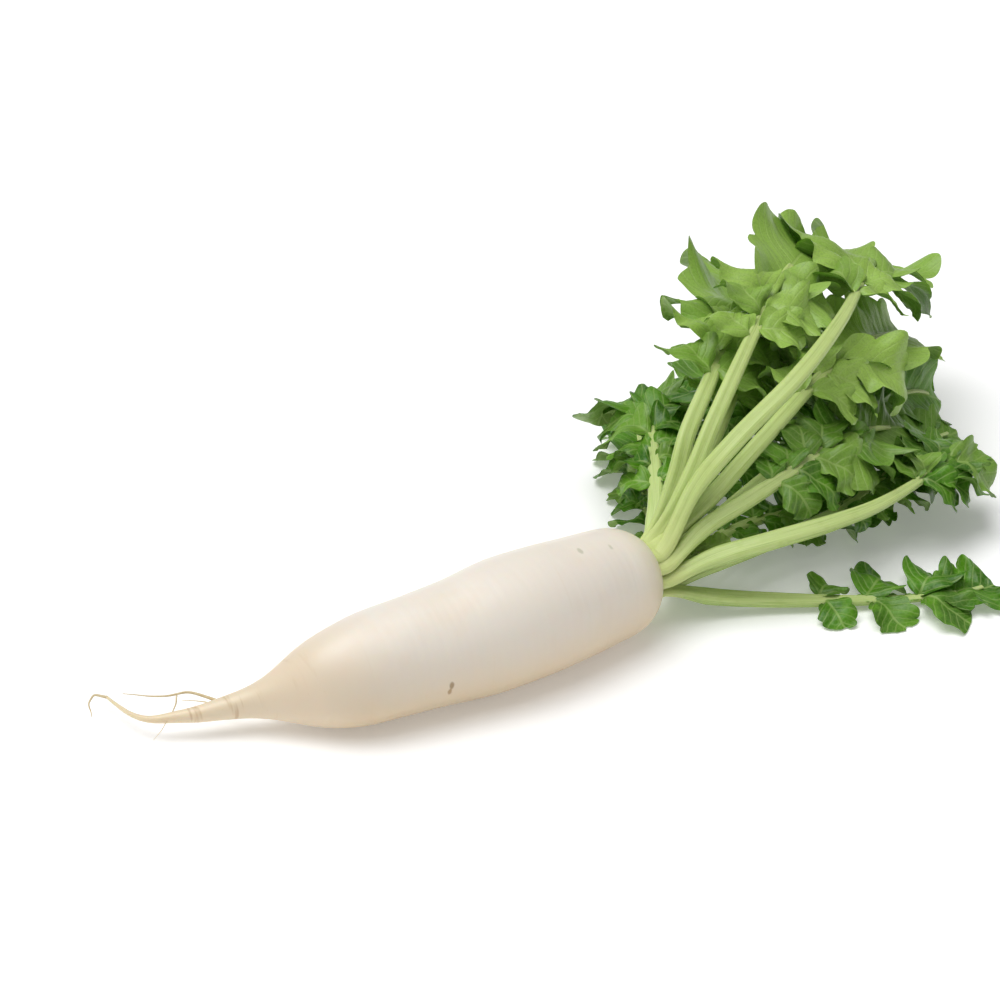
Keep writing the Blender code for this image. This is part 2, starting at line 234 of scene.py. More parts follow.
# %% The leaves' midribs
# ring radius and angle on the crown plate, midrib points, then: bare share, half width, lobes on each
# side, stalk radius, and the way that the blade faces
OLD, YOUNG = 12.6, 5.0                 # rings that the old and the young stalks stand on
LEAVES = {
    "leaf_01": (OLD, -128,
        ((120, -6, 13), (150, -17, 7.5), (190, -37, 5.2), (225, -52, 4.0),
         (252, -58, 3.2), (270, -59, 3.0)),
        0.4, 18, 4, 5.2, (0.0, -0.2, 1.0)),
    "leaf_02": (OLD, -90,
        ((120, -5, 36), (150, -15, 43), (185, -20, 46), (220, -16, 45),
         (262, -1, 42), (294, 16, 38), (314, 30, 30)),
        0.7, 22, 4, 5.6, (0.1, -0.5, 1.0)),
    "leaf_03": (OLD, -58,
        ((121, 6, 48), (148, 6, 57), (178, 9, 64), (211, 18, 67),
         (250, 32, 61), (284, 42, 48)),
        0.36, 24, 4, 4.8, (0.1, -0.6, 1.0)),
    "leaf_04": (OLD, -26,
        ((119, 12, 70), (144, 11, 94), (191, 23, 114), (243, 57, 119),
         (300, 112, 108), (342, 160, 88), (362, 192, 70)),
        0.6, 34, 3, 5.2, (0.0, -0.4, 1.0)),
    "leaf_05": (OLD, 56,
        ((116, 29, 62), (134, 42, 86), (164, 66, 100), (204, 108, 104),
         (242, 156, 96), (272, 194, 82)),
        0.36, 32, 3, 5.0, (0.2, -0.5, 1.0)),
    "leaf_06": (OLD, 84,
        ((112, 38, 44), (132, 70, 54), (151, 104, 56), (168, 136, 48),
         (184, 166, 36)),
        0.24, 26, 4, 4.6, (0.0, 0.2, 1.0)),
    "leaf_07": (OLD, 112,
        ((122, 46, 24), (160, 92, 21), (202, 142, 21), (250, 190, 20),
         (288, 226, 16)),
        0.24, 26, 4, 4.8, (0.0, -0.2, 1.0)),
    "leaf_08": (OLD, 140,
        ((116, 34, 11), (136, 74, 6), (158, 118, 4.8), (184, 162, 3.6),
         (206, 202, 3)),
        0.28, 22, 4, 4.6, (0.0, 0.0, 1.0)),
    "leaf_09": (OLD, 170,
        ((122, 18, 20), (152, 32, 21), (190, 40, 18), (230, 38, 14),
         (268, 28, 9)),
        0.34, 19, 4, 4.2, (0.0, -0.3, 1.0)),
    "leaf_10": (YOUNG, 35,
        ((112, 12, 39), (134, 19, 40), (180, 34, 48), (232, 56, 50),
         (284, 78, 46), (330, 94, 36), (356, 102, 22)),
        0.34, 26, 4, 4.4, (0.0, -0.5, 1.0)),
    "leaf_11": (YOUNG, 110,
        ((108, 21, 37), (126, 31, 50), (160, 54, 70), (204, 92, 80),
         (254, 136, 69), (304, 182, 50), (340, 212, 32)),
        0.32, 30, 4, 4.4, (0.1, -0.5, 1.0)),
    "leaf_12": (YOUNG, 178,
        ((126, 34, 32), (166, 66, 40), (214, 100, 44), (268, 134, 38),
         (318, 162, 24)),
        0.26, 26, 5, 4.2, (0.0, -0.3, 1.0)),
    "leaf_13": (OLD, 1,
        ((128, 16, 56), (170, 24, 80), (220, 46, 92), (275, 80, 86),
         (322, 108, 70), (350, 124, 54)),
        0.4, 28, 3, 4.8, (0.0, -0.5, 1.0)),
    "leaf_14": (OLD, 28,
        ((118, 19, 68), (146, 34, 96), (188, 64, 118), (236, 104, 126),
         (280, 144, 118), (308, 172, 104)),
        0.44, 28, 3, 4.8, (0.0, -0.6, 1.0)),
    "leaf_15": (OLD, -160,
        ((124, 2, 26), (160, 2, 29), (210, 8, 31), (256, 26, 31),
         (304, 50, 28), (342, 66, 20)),
        0.44, 22, 4, 4.4, (0.0, -0.4, 1.0)),
    "heart_leaf_1": (YOUNG, -100,
        ((110, 5, 33), (125, 6, 35), (138, 4, 37)),
        0.44, 6, 2, 2.0, (0.0, -0.4, 1.0)),
    "heart_leaf_2": (YOUNG, 224,
        ((106, 9, 28), (118, 14, 29), (130, 17, 30)),
        0.44, 5, 2, 2.0, (0.0, -0.2, 1.0)),
}
SEAT_GAP = 0.6                         # mm between a stalk and the crown plate
STALK_START = 3.0                      # mm that a stalk runs straight out of the crown
STALK_LEAD = 26.0                      # how strongly it keeps that direction
STALK_END = 0.93                       # share of a leaf's length that its solid stalk reaches
MIDRIB_ROWS = 121
THICK_AT = (0.0, 0.05, 0.14, 0.35, 0.75, 1.0)
THICK_SHARE = (0.52, 0.62, 0.90, 0.80, 0.40, 0.20)


def midrib(ring, angle, points):
    """The smooth middle line of a leaf in metres, from the end of its straight start to its tip."""
    turn = math.radians(angle)
    start = np.array([crown_x + SEAT_GAP + STALK_START,
                      CROWN_CENTRE[0] + ring * math.sin(turn), CROWN_CENTRE[1] + ring * math.cos(turn)])
    return MM * smooth_curve([start, *points], MIDRIB_ROWS, lead=start - (STALK_LEAD, 0.0, 0.0))


def stalk_radius(share, thick):
    """Narrow at the seat, thickest soon after, then thinning to the leaf's tip; in metres."""
    return MM * thick * np.interp(share, THICK_AT, THICK_SHARE)


longest = max(np.linalg.norm(np.diff(midrib(*leaf[:3]), axis=0), axis=1).sum() for leaf in LEAVES.values())
print(len(LEAVES), "leaves, the longest", round(longest, 3), "m")

# %% [markdown]
# ## Mixing finishes
# A finish is a small network of shader nodes. Written out node by node it is long and hard to read, so one
# class wraps an output socket and turns + - * / into Math nodes, and one method adds any other node. A
# finish then reads as the sentence it is: skin colour, mixed towards beige by how far down the tail we are.


# %% A socket that does arithmetic
class Wire:
    """An output socket; arithmetic on it adds Math nodes to its finish."""

    def __init__(self, finish, socket):
        self.finish, self.socket = finish, socket

    def math(self, operation, *values):
        """One Math node on these values."""
        return self.finish.node("ShaderNodeMath", {"operation": operation}, dict(enumerate(values)))

    def __add__(self, other):
        return self.math("ADD", self, other)

    def __radd__(self, other):
        return self.math("ADD", other, self)

    def __sub__(self, other):
        return self.math("SUBTRACT", self, other)

    def __mul__(self, other):
        return self.math("MULTIPLY", self, other)

    def __rmul__(self, other):
        return self.math("MULTIPLY", other, self)

    def __truediv__(self, other):
        return self.math("DIVIDE", self, other)

    def __abs__(self):
        return self.math("ABSOLUTE", self)


class Finish:
    """A material being mixed round its Principled shader."""

    def __init__(self, name):
        self.material = bpy.data.materials.new(name)
        self.material.use_nodes = True
        self.tree = self.material.node_tree
        self.shader = self.tree.nodes["Principled BSDF"]

    def plug(self, socket, value):
        """Link a Wire to a socket, or set the socket to a plain value."""
        if isinstance(value, Wire):
            self.tree.links.new(value.socket, socket)
        else:
            socket.default_value = value

    def node(self, kind, settings, inputs, output=0):
        """Add a node: its settings first (a ramp's stops among them), then its sockets' values and links."""
        made = self.tree.nodes.new(kind)
        for key, value in settings.items():
            if key == "stops":
                while len(made.color_ramp.elements) < len(value):
                    made.color_ramp.elements.new(1.0)
                for element, (place, colour) in zip(made.color_ramp.elements, value):
                    element.position, element.color = place, colour
            else:
                setattr(made, key, value)
        for key, value in inputs.items():
            self.plug(made.inputs[key], value)
        return Wire(self, made.outputs[output])

    def set(self, **values):
        """Set or link the shader's own sockets, named with _ for a space."""
        for key, value in values.items():
            self.plug(self.shader.inputs[key.replace("_", " ")], value)

    def place(self):
        """Object coordinates, which are the plant's own, in metres."""
        return self.node("ShaderNodeTexCoord", {}, {}, output=3)

    def parts(self, vector):
        """The x, y and z of a vector."""
        split = self.node("ShaderNodeSeparateXYZ", {}, {0: vector})
        return [Wire(self, split.socket.node.outputs[i]) for i in range(3)]

    def mark(self, label):
        """A number kept on the surface's points."""
        return self.node("ShaderNodeAttribute", {"attribute_name": label}, {}, output=2)

    def stretched(self, vector, scale):
        """The vector multiplied by a scale for each axis."""
        return self.node("ShaderNodeVectorMath", {"operation": "MULTIPLY"}, {0: vector, 1: scale})

    def noise(self, vector, scale, detail=3.0):
        """Smooth noise from 0 to 1."""
        inputs = {"Vector": vector, "Scale": scale, "Detail": detail, "Roughness": 0.55}
        return self.node("ShaderNodeTexNoise", {}, inputs)

    def fade(self, value, start, stop, low=0.0, high=1.0):
        """low up to start, high past stop, and a smooth step between."""
        inputs = {0: value, 1: start, 2: stop, 3: low, 4: high}
        return self.node("ShaderNodeMapRange", {"interpolation_type": "SMOOTHSTEP"}, inputs)

    def mix(self, factor, first, second):
        """Two colours mixed."""
        return self.node("ShaderNodeMix", {"data_type": "RGBA"}, {0: factor, 6: first, 7: second}, output=2)

    def bump(self, height, distance, strength=1.0):
        """A normal tilted by a height field; a height of 1 stands out by distance, in metres."""
        inputs = {"Strength": strength, "Distance": distance, "Height": height}
        return self.node("ShaderNodeBump", {}, inputs)


def rgb(red, green, blue):
    """A colour as the eye names it, from 0 to 255, turned to the linear values that light adds up in."""
    share = np.array([red, green, blue]) / 255.0
    linear = np.where(share <= 0.04045, share / 12.92, ((share + 0.055) / 1.055) ** 2.4)
    return (*linear.tolist(), 1.0)


print("paint box ready")

# %% [markdown]
# ## The root
# A daikon's skin is smooth, moist and creamy white, with a faint green blush under the leaves, a beige tail,
# fine lines round it and a few small marks where rootlets broke away. A turned profile would be stiff,
# because the real root leans and its tail curls, so the outline circle is carried along the root's own
# path and each ring takes its radius from the stations. Shallow waves keep it from looking machined, and
# everything that would sink below the ground plane is pressed flat, as the soft belly is.


# %% The root's surface
ROOT_ROWS, ROOT_AROUND = 460, 128
APEX_LEFT = 0.01           # radians of the dome left open at its apex, which one small face shuts
MELT_ROWS = 18             # rows on each side that the bell-shaped average reaches
MELT_WIDTH = 7.0           # width of the bell, in rows


def root_rows(count):
    """Rows of x, y, height and radius: the crown's dome almost to its apex, the body and the tail.

    The rows are even along the skin's own outline, and a bell-shaped average over a few of them melts
    the dome into the shoulder.
    """
    shoulder_x, shoulder_y, underside, shoulder = ROOT_STATIONS[0]
    turn = np.linspace(0.5 * math.pi - APEX_LEFT, 0.12, 14)
    reach = np.sin(turn)
    dome = np.column_stack([shoulder_x + CROWN_LENGTH * reach, shoulder_y + CROWN_DRIFT * reach,
                            underside + shoulder + CROWN_DRIFT * reach, shoulder * np.cos(turn) ** 0.85])
    stations = [(x, y, low + radius, radius) for x, y, low, radius in ROOT_STATIONS]
    fine = smooth_curve(np.vstack([dome, stations]), count, measure=4)
    bell = np.exp(-(np.arange(-MELT_ROWS, MELT_ROWS + 1) / MELT_WIDTH) ** 2)
    padded = np.pad(fine, ((MELT_ROWS, MELT_ROWS), (0, 0)), mode="edge")
    soft = np.column_stack([np.convolve(column, bell / bell.sum(), "valid") for column in padded.T])
    from_end = np.minimum(np.arange(count), np.arange(count)[::-1])
    blend = np.clip((from_end - 6) / 24.0, 0.0, 1.0)[:, None]
    return MM * (fine + (soft - fine) * blend)


def skin_relief(x, turn):
    """Metres that the skin stands out: long shallow waves, fine rings and the dimples of lost rootlets."""
    waves = (0.20 * np.sin(61 * x + 2 * turn + 0.4) + 0.14 * np.sin(97 * x - turn + 2.1)
             + 0.16 * np.sin(3 * turn + 38 * x) + 0.10 * np.sin(171 * x + 3 * turn))
    rings = (0.018 * np.sin(900 * x + 2.0 * np.sin(2 * turn))
             + 0.014 * np.sin(1430 * x + 1.5 * np.cos(turn)))
    relief = waves + rings
    for mark_x, mark_turn, long, deep in SCARS:
        apart = np.angle(np.exp(1j * (turn - mark_turn)))
        relief -= deep * np.exp(-((x - mark_x) / (1.1 * MM)) ** 2 - (apart / long) ** 2)
    return MM * relief


# where a rootlet broke away: x in metres, angle round the root, half length in radians, depth in mm
SCARS = [(-0.104 + 0.021 * k, (0.25 if k % 2 else math.pi + 0.35) + 0.22 * math.sin(5.1 * k),
          0.10 + 0.04 * math.sin(3 * k), 0.34) for k in range(9)]
rows = root_rows(ROOT_ROWS)
path, radius = rows[:, :3], rows[:, 3]
_, side, up = directions(path, (0.0, 0.0, 1.0))
turn = np.linspace(0.0, 2 * math.pi, ROOT_AROUND, endpoint=False)[None, :]
settle = np.clip(radius[:, None] / 0.02, 0.0, 1.0) ** 2
full = radius[:, None] + settle * skin_relief(path[:, :1], turn)
grid = tube_grid(path, side, up, full * np.cos(turn), full * np.sin(turn))
grid[..., 2] = np.maximum(grid[..., 2], 0.0)
root_skin = Skin()
share = np.linspace(0.0, 1.0, len(path))[:, None]
take_tube(root_skin, grid, np.stack(np.broadcast_arrays(share, turn / (2 * math.pi)), axis=-1), {})
root = root_skin.build("daikon_root")
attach(root, "root")
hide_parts("root")
print("root:", len(root.data.polygons), "faces, thickest", round(2 * radius.max(), 4), "m")

# %% [markdown]
# The skin's colour changes slowly along the root, so a ramp along x holds it: a green-yellow blush at the
# crown, cream over the body, warm beige where the tail thins. Fine noise squeezed along the root and drawn
# out round it makes the hair-thin lines. Light sinks a little way into the flesh, which the subsurface
# setting gives, and a thin wet coat makes the soft highlight.

# %% The root's skin
skin = Finish("daikon_skin")
place = skin.place()
x, y, z = skin.parts(place)
TAIL, CROWN = -0.195, 0.092            # x, in metres, at the two ends of the colour ramp
along = (x - TAIL) / (CROWN - TAIL)
cream = skin.node("ShaderNodeValToRGB", {"stops": [
    (0.00, rgb(230, 213, 178)), (0.12, rgb(234, 220, 192)), (0.26, rgb(229, 213, 188)),
    (0.42, rgb(242, 234, 222)), (0.90, rgb(242, 233, 220)), (0.975, rgb(238, 229, 204)),
    (1.0, rgb(196, 204, 128))]}, {0: along})
# painted shade: the skin is mixed to a darker beige low on the root, towards its underside, and less on the
# tail
painted_underside_shade = skin.fade(z, 0.052, 0.010, 0.0, 0.9) * skin.fade(x, -0.130, -0.090, 0.15, 1.0)
cream = skin.mix(painted_underside_shade, cream, rgb(216, 195, 161))
cloud = skin.noise(place, 22.0)
lines = skin.noise(skin.stretched(place, (420.0, 16.0, 16.0)), 1.0, 2.0)
warm = skin.fade(cloud, 0.45, 0.75, 0.0, 0.35)
colour = skin.mix(warm, cream, rgb(232, 212, 186))
line_mark = skin.fade(lines, 0.60, 0.78, 0.0, 0.12) * skin.fade(cloud, 0.3, 0.6)
colour = skin.mix(line_mark, colour, rgb(214, 190, 150))
specks = skin.fade(skin.noise(place, 900.0, 1.0), 0.70, 0.80, 0.0, 0.25)
tail_part = skin.fade(x, -0.100, -0.150)
colour = skin.mix(specks * (0.25 + 0.75 * tail_part), colour, rgb(196, 160, 104))
streaks = skin.fade(skin.noise(skin.stretched(place, (260.0, 30.0, 30.0)), 1.0, 2.0), 0.58, 0.72)
colour = skin.mix(streaks * tail_part * 0.5, colour, rgb(186, 150, 96))
# middle, size and colour of each small mark: a brown nick, two grey smudges and a pink dent
BLEMISHES = (
    ((-0.0505, -0.0285, 0.0270), 0.0050, rgb(138, 108, 52)),
    ((-0.0512, -0.0278, 0.0230), 0.0046, rgb(160, 122, 66)),
    ((0.0400, -0.0020, 0.0640), 0.0055, rgb(200, 198, 176)),
    ((0.0580, -0.0030, 0.0620), 0.0050, rgb(204, 200, 178)),
    ((0.0700, -0.0170, 0.0540), 0.0065, rgb(232, 202, 180)),
)
for middle, size, shade in BLEMISHES:
    apart = skin.node("ShaderNodeVectorMath", {"operation": "SUBTRACT"}, {0: place, 1: middle})
    apart = skin.stretched(apart, (1.8, 1.0, 1.0))
    apart = skin.node("ShaderNodeVectorMath", {"operation": "LENGTH"}, {0: apart}, output=1)
    edge = apart + 0.4 * size * (skin.noise(place, 500.0) - 0.5)
    colour = skin.mix(skin.fade(edge, 0.25 * size, 0.6 * size, 0.75, 0.0), colour, shade)
height = 0.6 * lines + 0.25 * skin.noise(place, 700.0, 2.0) + 0.5 * skin.noise(place, 130.0, 2.0)
skin.set(Base_Color=colour, Roughness=skin.fade(cloud, 0.2, 0.8, 0.34, 0.46),
         Normal=skin.bump(height, 0.00012, 0.6))
skin.set(Subsurface_Weight=0.35, Subsurface_Scale=0.006, Subsurface_Radius=(1.0, 0.62, 0.36),
         Coat_Weight=0.08, Coat_Roughness=0.3)
root.data.materials.append(skin.material)
print("skin:", len(skin.tree.nodes), "nodes")

# %% [markdown]
# ## Rootlets
# Thin threads leave the tail. Each is a round outline that shrinks along a smooth path; a slight wobble
# keeps it from looking like wire. A few hairs too fine to be solids of their own ride with the first ones.

# %% Rootlets
# for each thread: its radius in mm, then its points
ROOTLETS = {
    "side_root_1": (
        (0.8, ((-192.6, 73.0, 8.0), (-198.0, 77.5, 8.4), (-202.0, 75.0, 6.0), (-203.5, 68.0, 3.0))),),
    "side_root_2": (
        (0.9, ((-148.0, 30.0, 15.0), (-160.0, 44.0, 17.0), (-172.0, 52.0, 14.0), (-187.0, 66.0, 12.5))),
        (0.45, ((-166.0, 46.5, 15.8), (-170.0, 40.0, 14.0), (-178.0, 34.0, 10.0), (-186.0, 31.0, 5.0)))),
    "side_root_3": (
        (0.7, ((-137.0, 26.0, 12.0), (-146.0, 40.0, 6.6), (-150.0, 52.0, 3.4), (-158.0, 60.0, 2.2))),
        (0.40, ((-147.0, 42.0, 6.0), (-152.0, 43.0, 3.0), (-160.0, 40.0, 1.6)))),
}
THREAD_ROWS = 48
thread = Finish("rootlet_skin")
fibre = thread.noise(thread.place(), 300.0)
thread.set(Base_Color=thread.mix(fibre, rgb(232, 220, 186), rgb(196, 168, 112)), Roughness=0.6,
           Normal=thread.bump(fibre, 0.0002))
for name, threads in ROOTLETS.items():
    gathered = Skin()
    for thick, points in threads:
        path = MM * smooth_curve(points, THREAD_ROWS)
        share = np.linspace(0.0, 1.0, THREAD_ROWS)
        wobble = 0.25 * MM * np.column_stack([np.sin(17 * share), np.sin(23 * share + 1), np.cos(19 * share)])
        path = path + wobble * share[:, None]
        _, side, up = directions(path, (0.0, 0.0, 1.0))
        turn = np.linspace(0.0, 2 * math.pi, 12, endpoint=False)[None, :]
        radius = (MM * thick * (1.0 - 0.8 * share))[:, None]
        grid = tube_grid(path, side, up, radius * np.cos(turn), radius * np.sin(turn))
        take_tube(gathered, grid, np.stack(np.broadcast_arrays(share[:, None], turn / 6.3), axis=-1), {})
    piece = gathered.build(name.replace("side_root", "rootlet"))
    piece.data.materials.append(thread.material)
    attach(piece, "root")
    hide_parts(name)
    print(piece.name, len(piece.data.polygons), "faces")

# %% [markdown]
# ## Stalks
# A daikon's leaf stalk is not round: its upper side has a shallow channel with two raised lips, its back is
# rounded and ribbed, and it spreads where it clasps the crown. The outline is a slightly wide circle; a
# bell-shaped dip is taken out of its top, and a fine cosine makes the ribs. The same stalk runs on under the
# blade as its midrib.


# %% The stalk's surface
LEAD_ROWS = 8              # rows of a stalk before its midrib's first point
STALK_SUNK = 2.5           # mm that they start behind the stalk's straight part
STALK_AROUND = 40
STALK_OVERLAP = 0.03       # share of the leaf's length that it runs on past its solid


def stalk_outline(turn, share, radius):
    """Side and up distances of the outline.

    Side is 1.14 r cos(turn), wider at the seat; up is 0.88 r sin(turn), less a channel
    0.24 r exp(-(cos(turn) / 0.46)^2) on the upper side. Ribs are cosines round the back.
    """
    back = np.clip(0.35 - np.sin(turn), 0.0, 1.0)
    ribs = (1.0 + 0.018 * back * np.cos(11 * turn + 1.2 * np.sin(9 * share))
            + 0.012 * np.cos(25 * turn + 4 * share))
    clasp = 1.0 + 0.45 * np.exp(-(share / 0.05) ** 2)
    channel = 0.24 * np.exp(-(np.cos(turn) / 0.46) ** 2) * (np.sin(turn) > 0)
    channel = channel * np.clip(share / 0.05, 0.25, 1.0)
    return 1.14 * clasp * radius * ribs * np.cos(turn), radius * (0.88 * ribs * np.sin(turn) - channel)


def take_stalk(skin, spine, facing, thick, tint):
    """Add one stalk, from inside the crown to where the midrib ends."""
    last = STALK_END + STALK_OVERLAP
    inside = np.linspace(1.0, 0.0, LEAD_ROWS, endpoint=False)[:, None] * (STALK_START + STALK_SUNK) * MM
    lead_in = spine[:1] - inside * (1.0, 0.0, 0.0)
    places = np.linspace(0.0, last, 2 * round(last * (len(spine) - 1)))
    path = np.vstack([lead_in, at_share(spine, places)])
    share = np.concatenate([np.zeros(LEAD_ROWS), places])[:, None]
    _, side, up = directions(path, facing)
    turn = np.linspace(0.0, 2 * math.pi, STALK_AROUND, endpoint=False)[None, :]
    across, above = stalk_outline(turn, share, stalk_radius(share, thick))
    grid = tube_grid(path, side, up, across, above)
    grid[..., 2] = np.maximum(grid[..., 2], 0.3 * MM)
    flat = np.stack(np.broadcast_arrays(share, turn / (2 * math.pi)), axis=-1)
    marks = {"tint": tint, "channel": np.broadcast_to(np.sin(turn), grid.shape[:2]).ravel(),
             "out": np.broadcast_to(share, grid.shape[:2]).ravel()}
    take_tube(skin, grid, flat, marks)


# %% [markdown]
# The stalk's green is a pale lime, almost cream where it leaves the crown. Its channel is lighter than its
# back, and long fine streaks follow its length, so the streak noise is read from the UV map, where one
# direction runs round the stalk and the other along it.

# %% The stalk's finish
def stalk_finish(name, lift):
    """Pale ribbed green; lift mixes it towards the yellow of a young stalk."""
    paint = Finish(name)
    flat = paint.node("ShaderNodeUVMap", {"uv_map": "surface"}, {})
    channel, out, tint = paint.mark("channel"), paint.mark("out"), paint.mark("tint")
    streaks = paint.noise(paint.stretched(flat, (7.0, 46.0, 1.0)), 1.0, 3.0)
    mottle = paint.noise(paint.place(), 160.0, 2.0)
    colour = paint.mix(paint.fade(channel, -0.6, 0.75), rgb(136, 168, 70), rgb(190, 210, 130))
    colour = paint.mix(paint.fade(streaks, 0.35, 0.75, 0.0, 0.65), colour, rgb(212, 226, 156))
    colour = paint.mix(paint.fade(streaks, 0.45, 0.25, 0.0, 0.45), colour, rgb(114, 144, 50))
    colour = paint.mix(paint.fade(mottle, 0.5, 0.8, 0.0, 0.25), colour, rgb(160, 186, 88))
    colour = paint.mix(paint.fade(out, 0.10, 0.0, 0.0, 0.60), colour, rgb(212, 218, 146))
    # the leaf's tint lightens its stalk too: partly freshness, partly painted light on stalks high in the
    # bunch and painted shade on low ones
    colour = paint.mix(lift + 0.20 * tint, colour, rgb(184, 206, 100))
    paint.set(Base_Color=colour, Roughness=paint.fade(streaks, 0.2, 0.8, 0.36, 0.50),
              Normal=paint.bump(streaks + 0.3 * mottle, 0.0004, 0.6))
    paint.set(Subsurface_Weight=0.22, Subsurface_Scale=0.004, Subsurface_Radius=(0.7, 1.0, 0.25))
    return paint.material


old_stalk = stalk_finish("stalk_green", 0.0)
young_stalk = stalk_finish("young_stalk_green", 0.35)
print("stalk finishes:", old_stalk.name, young_stalk.name)

# %% [markdown]
# ## Leaf blades
# A daikon leaf is cut into pairs of toothed lobes with one broad lobe at its tip. Each lobe is its own small
# sheet with its own vein, which is how it grows. The lobe starts as a flat outline over a vein. Then, point
# by point, the lobe cups, its edge ripples, the flesh swells between its side veins, and gravity bends it.
# All of these are sums of simple terms in two parameters: s from the lobe's root to its tip, and t from one
# edge to the other.
#
# A lobe's shape is a small table. Its columns, teeth, depth (of the teeth) and broad (the outline's two
# powers) set the outline. Twist, cup, ripple, waves (how many ripples) and sweep (how far the sides run
# towards the tip) bend it, and veins is the distance between its side veins in millimetres.


# %% One lobe
UV_SPAN = 0.2              # metres of leaf to one unit of the UV map
BLADE_THICK = 0.35 * MM
GROUND_GAP = 0.6 * MM      # height of a leaf that lies on the ground
GROUND_SOFT = 1.5 * MM     # how gently it bends to lie there
VEIN_SLANT = 0.75          # how far a side vein runs forward for each step out


def lobe_edge(s, shape, phase):
    """Half width as a share of its greatest.

    The plain outline is s^a (1 - s)^b over its peak. Rounded teeth are |sin q|^0.7, which meet in narrow
    notches, and a slower sine below them makes a few broad bays.
    """
    rise, fall = shape["broad"]
    teeth, depth = shape["teeth"], shape["depth"]
    peak = rise / (rise + fall)
    plain = s ** rise * (1.0 - s) ** fall / (peak ** rise * (1.0 - peak) ** fall)
    round_tooth = np.abs(np.sin(math.pi * (s * teeth + phase))) ** 0.7
    bays = np.sin(2 * math.pi * (0.42 * teeth * s + 3.0 * phase))
    ends = np.clip(s / 0.15, 0, 1) * np.clip((1.0 - s) / 0.06, 0, 1)
    return plain * (1.0 + depth * ends * (2.0 * round_tooth - 1.3) + 0.4 * depth * bays)


def edge_ripple(s, t, waves, draw):
    """Up and down along each edge: sin(2 pi (n s + p)) plus a quarter of a sine 2.3 times as fast."""
    left, right, extra = draw.random(), draw.random(), draw.random()
    slow = np.where(t < 0, np.sin(2 * math.pi * (waves * s + left)),
                    np.sin(2 * math.pi * (waves * s + right)))
    return slow + 0.25 * np.sin(2 * math.pi * (2.3 * waves * s + 0.4 * np.sign(t) + extra))


def flesh_swell(s, t, across, length, wide, veins_apart, draw):
    """Swelling between the side veins, |sin(pi u / apart)|, and the wide folds of a crumpled leaf."""
    edge = np.abs(t)
    between = np.abs(np.sin(math.pi * (s * length - VEIN_SLANT * np.abs(across)) / veins_apart))
    swell = 0.7 * MM * (between - 0.5) * np.clip(edge * 4, 0, 1) * (1.0 - 0.5 * edge)
    return swell + 0.10 * wide * np.sin(9 * s + 5 * draw.random()) * np.cos(3.4 * t + 6 * draw.random())


def lobe_middle(vein, facing, wide, shape, draw):
    """The middle surface of a lobe over its vein, and its flat UV pairs.

    A point is vein + side t w + up (w cup |t|^1.5 + w ripple |t|^2 wave + swell)
    + along sweep W |t| sin(pi s). Here w is the half width at s and W the greatest, the wave comes from
    edge_ripple, and side and up turn about the vein by the lobe's twist.
    """
    s = np.linspace(0.0, 1.0, len(vein))[:, None]
    t = np.linspace(-1.0, 1.0, shape["columns"])[None, :]
    edge = np.abs(t)
    along, side, up = directions(vein, facing)
    roll = shape["twist"] * s
    side, up = side * np.cos(roll) + up * np.sin(roll), up * np.cos(roll) - side * np.sin(roll)
    inner = np.clip(s, 0.004, 0.996)
    left = lobe_edge(inner, shape, draw.random())
    right = lobe_edge(inner, shape, draw.random())
    width = wide * np.where(t < 0, left, right)
    across = t * width
    length = np.linalg.norm(np.diff(vein, axis=0), axis=1).sum()
    ripple = edge_ripple(s, t, shape["waves"], draw)
    swell = flesh_swell(s, t, across, length, wide, shape["veins"] * MM, draw)
    lift = width * (shape["cup"] * edge ** 1.5 + shape["ripple"] * edge ** 2 * ripple) + swell
    forward = shape["sweep"] * wide * edge * np.sin(math.pi * s)
    middle = (vein[:, None] + side[:, None] * across[..., None] + up[:, None] * lift[..., None]
              + along[:, None] * forward[..., None])
    flat = [(s * length + forward) / UV_SPAN, 0.5 + across / UV_SPAN]
    return middle, np.stack(np.broadcast_arrays(*flat), axis=-1)


def rest_on_ground(points):
    """Heights near the ground bend up to it: floor + soft log(1 + exp((z - floor) / soft))."""
    height = (points[..., 2] - GROUND_GAP) / GROUND_SOFT
    points[..., 2] = GROUND_GAP + GROUND_SOFT * np.logaddexp(0.0, height)
    return points


def add_lobe(skin, vein, face, half, shape, tint, draw):
    """Add one lobe, a little fresher or duller than its leaf."""
    middle, flat = lobe_middle(vein, face, half, shape, draw)
    marks = {"tint": tint + 0.5 * (draw.random() - 0.5)}
    take_sheet(skin, rest_on_ground(middle), BLADE_THICK, flat, marks)


# %% [markdown]
# A whole blade is three kinds of lobe: a narrow frill along the midrib, pairs of side lobes that grow
# towards the tip and lean forward, and the broad tip lobe, which follows the midrib to its end.

# %% A whole blade
FRILL = {"columns": 11, "twist": 0.0, "depth": 0.15, "broad": (0.12, 0.12), "ripple": 0.20, "cup": 0.25,
         "veins": 6.0, "sweep": 0.1}
SIDE_LOBE = {"columns": 19, "depth": 0.10, "broad": (0.50, 0.34), "veins": 5.5, "sweep": 0.10}
TIP_LOBE = {"columns": 31, "teeth": 5, "depth": 0.11, "broad": (0.46, 0.36), "waves": 2.2, "veins": 8.0,
            "sweep": 0.12}
FRILL_ROWS, SIDE_ROWS, TIP_ROWS = 120, 34, 90
FRILL_WIDTH = 2.8 * MM
FRILL_RAISED, TIP_RAISED = 0.35 * MM, 0.5 * MM


def side_vein(start, along, side, up, length, angle, droop, rise):
    """A lobe's vein: start + L (d s + up rise (s - s^2)) - z droop L s^2, where d leans out by angle."""
    s = np.linspace(0.0, 1.0, SIDE_ROWS)[:, None]
    out = along * math.cos(angle) + side * math.sin(angle)
    vein = start + length * (out * s + up * rise * (s - s ** 2))
    vein[:, 2] -= (droop * length * s ** 2).ravel()
    return vein


